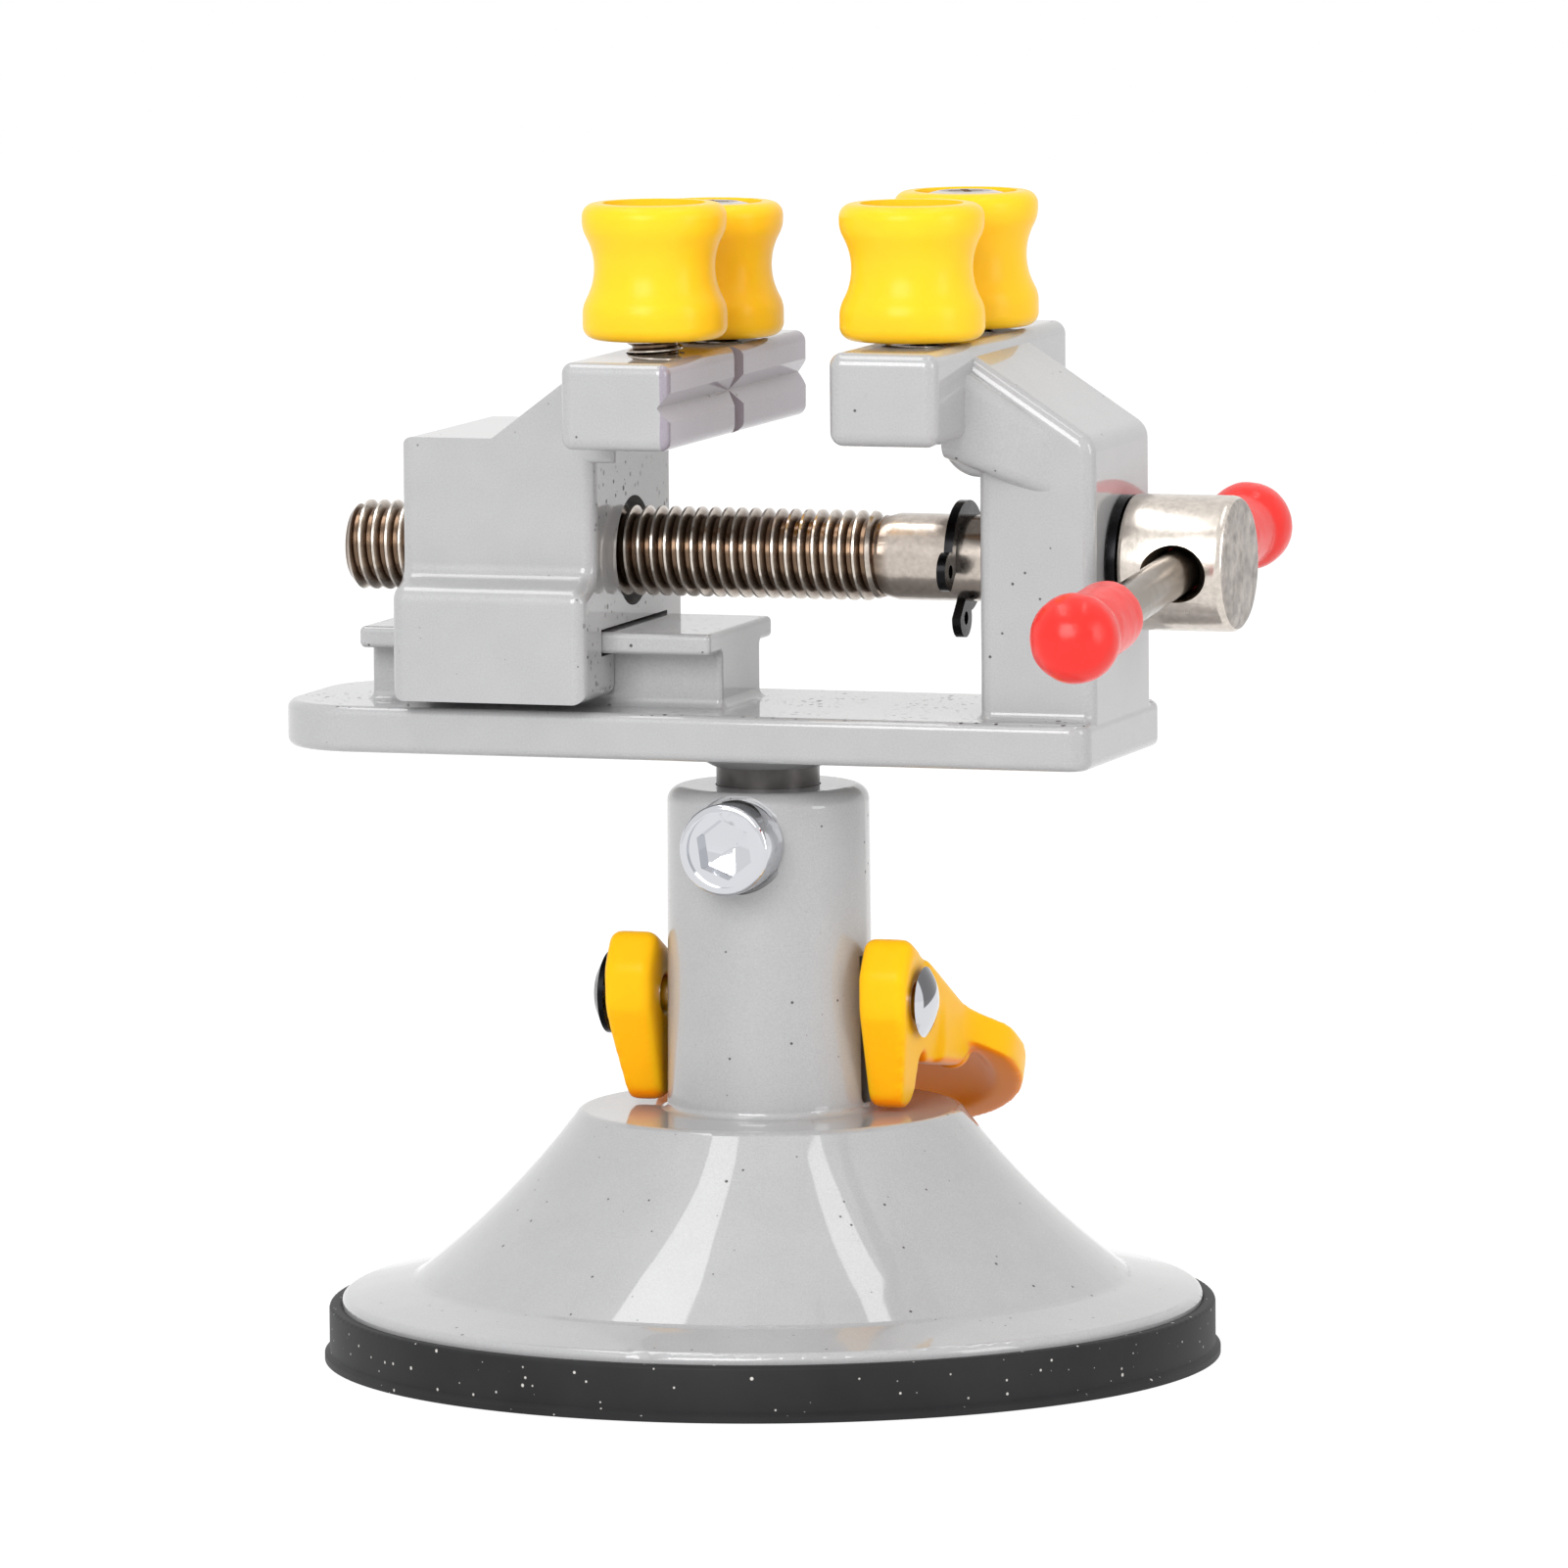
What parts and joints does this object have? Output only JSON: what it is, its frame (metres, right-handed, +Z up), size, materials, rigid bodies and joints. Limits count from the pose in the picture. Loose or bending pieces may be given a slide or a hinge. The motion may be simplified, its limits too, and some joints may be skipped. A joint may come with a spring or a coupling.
{
  "type": "suction base vise",
  "caption": "Small bench vise on a lever-operated suction base, with a swivel column, lead screw, sliding tommy bar and screwed-in pegs on the jaws.",
  "frame": {"origin": "centre of the suction pad on the bench, under the column and the swivel axis", "axes": "+Z up along the swivel axis; +X along the lead screw towards its head, square to the jaw faces; -Y is the side of the swivel's clamp screw and +Y the side of the lever's paddle"},
  "size_m": [0.0873, 0.08, 0.1036],
  "materials": {
    "rubber": "satin",
    "casting": "gloss metallic paint",
    "lever": "gloss",
    "steel": "bright plated",
    "chrome": "polished",
    "cap": "soft gloss",
    "peg": "gloss",
    "peg_screw": "bright plated"
  },
  "bodies": {
    "base": {"base_casting": "casting", "suction_pad": "rubber"},
    "clamp_screw": {"clamp_screw": "chrome"},
    "plunger": {"pad_disc": "steel", "plunger_rod": "steel", "lever_pin": "chrome", "pin_push_nut": "steel"},
    "lever": {"lever": "lever"},
    "vise": {"swivel_post": "steel", "vise_body": "casting"},
    "screw": {"lead_screw": "steel", "thrust_washer": "steel", "screw_circlip": "steel"},
    "jaw": {"movable_jaw": "casting"},
    "bar": {"tommy_bar": "steel", "bar_cap_near": "cap", "bar_cap_far": "cap"},
    "peg_movable_front": {"peg_sleeve_movable_front": "peg"},
    "peg_movable_front_screw": {"peg_screw_movable_front": "peg_screw"},
    "peg_movable_rear": {"peg_sleeve_movable_rear": "peg"},
    "peg_movable_rear_screw": {"peg_screw_movable_rear": "peg_screw"},
    "peg_fixed_front": {"peg_sleeve_fixed_front": "peg"},
    "peg_fixed_front_screw": {"peg_screw_fixed_front": "peg_screw"},
    "peg_fixed_rear": {"peg_sleeve_fixed_rear": "peg"},
    "peg_fixed_rear_screw": {"peg_screw_fixed_rear": "peg_screw"}
  },
  "joints": [
    {"name": "clamp_screw_turn", "type": "hinge", "parent": "base", "child": "clamp_screw", "pos_m": [0, 0, 0.0466], "axis": [0, -1, 0], "range_deg": [0, 540]},
    {"name": "plunger_slide", "type": "slide", "parent": "base", "child": "plunger", "axis": [0, 0, 1], "range_m": [-0.00125, 0], "deforming": ["suction_pad"]},
    {"name": "lever_hinge", "type": "hinge", "parent": "plunger", "child": "lever", "pos_m": [0, 0, 0.032], "axis": [1, 0, 0], "range_deg": [0, 55]},
    {"name": "swivel", "type": "hinge", "parent": "base", "child": "vise", "pos_m": [0, 0, 0], "axis": [0, 0, 1], "continuous": true},
    {"name": "lead_screw_turn", "type": "hinge", "parent": "vise", "child": "screw", "pos_m": [0, 0, 0.0717], "axis": [1, 0, 0], "range_deg": [-2995.2, 2880]},
    {"name": "jaw_slide", "type": "slide", "parent": "vise", "child": "jaw", "axis": [1, 0, 0], "range_m": [-0.01, 0.0104]},
    {"name": "bar_slide", "type": "slide", "parent": "screw", "child": "bar", "axis": [0, 0.9959, 0.0906], "range_m": [-0.0017, 0.0191]},
    {"name": "peg_movable_front_lift", "type": "slide", "parent": "jaw", "child": "peg_movable_front", "axis": [0, 0, 1], "range_m": [-0.001, 0.007]},
    {"name": "peg_movable_front_turn", "type": "hinge", "parent": "peg_movable_front", "child": "peg_movable_front_screw", "pos_m": [-0.0075, -0.008, 0.1], "axis": [0, 0, 1], "range_deg": [-450, 3150]},
    {"name": "peg_movable_rear_lift", "type": "slide", "parent": "jaw", "child": "peg_movable_rear", "axis": [0, 0, 1], "range_m": [0, 0.008]},
    {"name": "peg_movable_rear_turn", "type": "hinge", "parent": "peg_movable_rear", "child": "peg_movable_rear_screw", "pos_m": [-0.0075, 0.008, 0.1], "axis": [0, 0, 1], "range_deg": [0, 3600]},
    {"name": "peg_fixed_front_lift", "type": "slide", "parent": "vise", "child": "peg_fixed_front", "axis": [0, 0, 1], "range_m": [0, 0.008]},
    {"name": "peg_fixed_front_turn", "type": "hinge", "parent": "peg_fixed_front", "child": "peg_fixed_front_screw", "pos_m": [0.0163, -0.008, 0.1], "axis": [0, 0, 1], "range_deg": [0, 3600]},
    {"name": "peg_fixed_rear_lift", "type": "slide", "parent": "vise", "child": "peg_fixed_rear", "axis": [0, 0, 1], "range_m": [0, 0.008]},
    {"name": "peg_fixed_rear_turn", "type": "hinge", "parent": "peg_fixed_rear", "child": "peg_fixed_rear_screw", "pos_m": [0.0163, 0.008, 0.1], "axis": [0, 0, 1], "range_deg": [0, 3600]}
  ],
  "couplings": [
    {"joint": "lever_hinge", "follows": "plunger_slide", "rad_per_m": -769.23},
    {"joint": "lead_screw_turn", "follows": "jaw_slide", "rad_per_m": -5026.5},
    {"joint": "peg_movable_front_turn", "follows": "peg_movable_front_lift", "rad_per_m": 7854},
    {"joint": "peg_movable_rear_turn", "follows": "peg_movable_rear_lift", "rad_per_m": 7854},
    {"joint": "peg_fixed_front_turn", "follows": "peg_fixed_front_lift", "rad_per_m": 7854},
    {"joint": "peg_fixed_rear_turn", "follows": "peg_fixed_rear_lift", "rad_per_m": 7854}
  ]
}
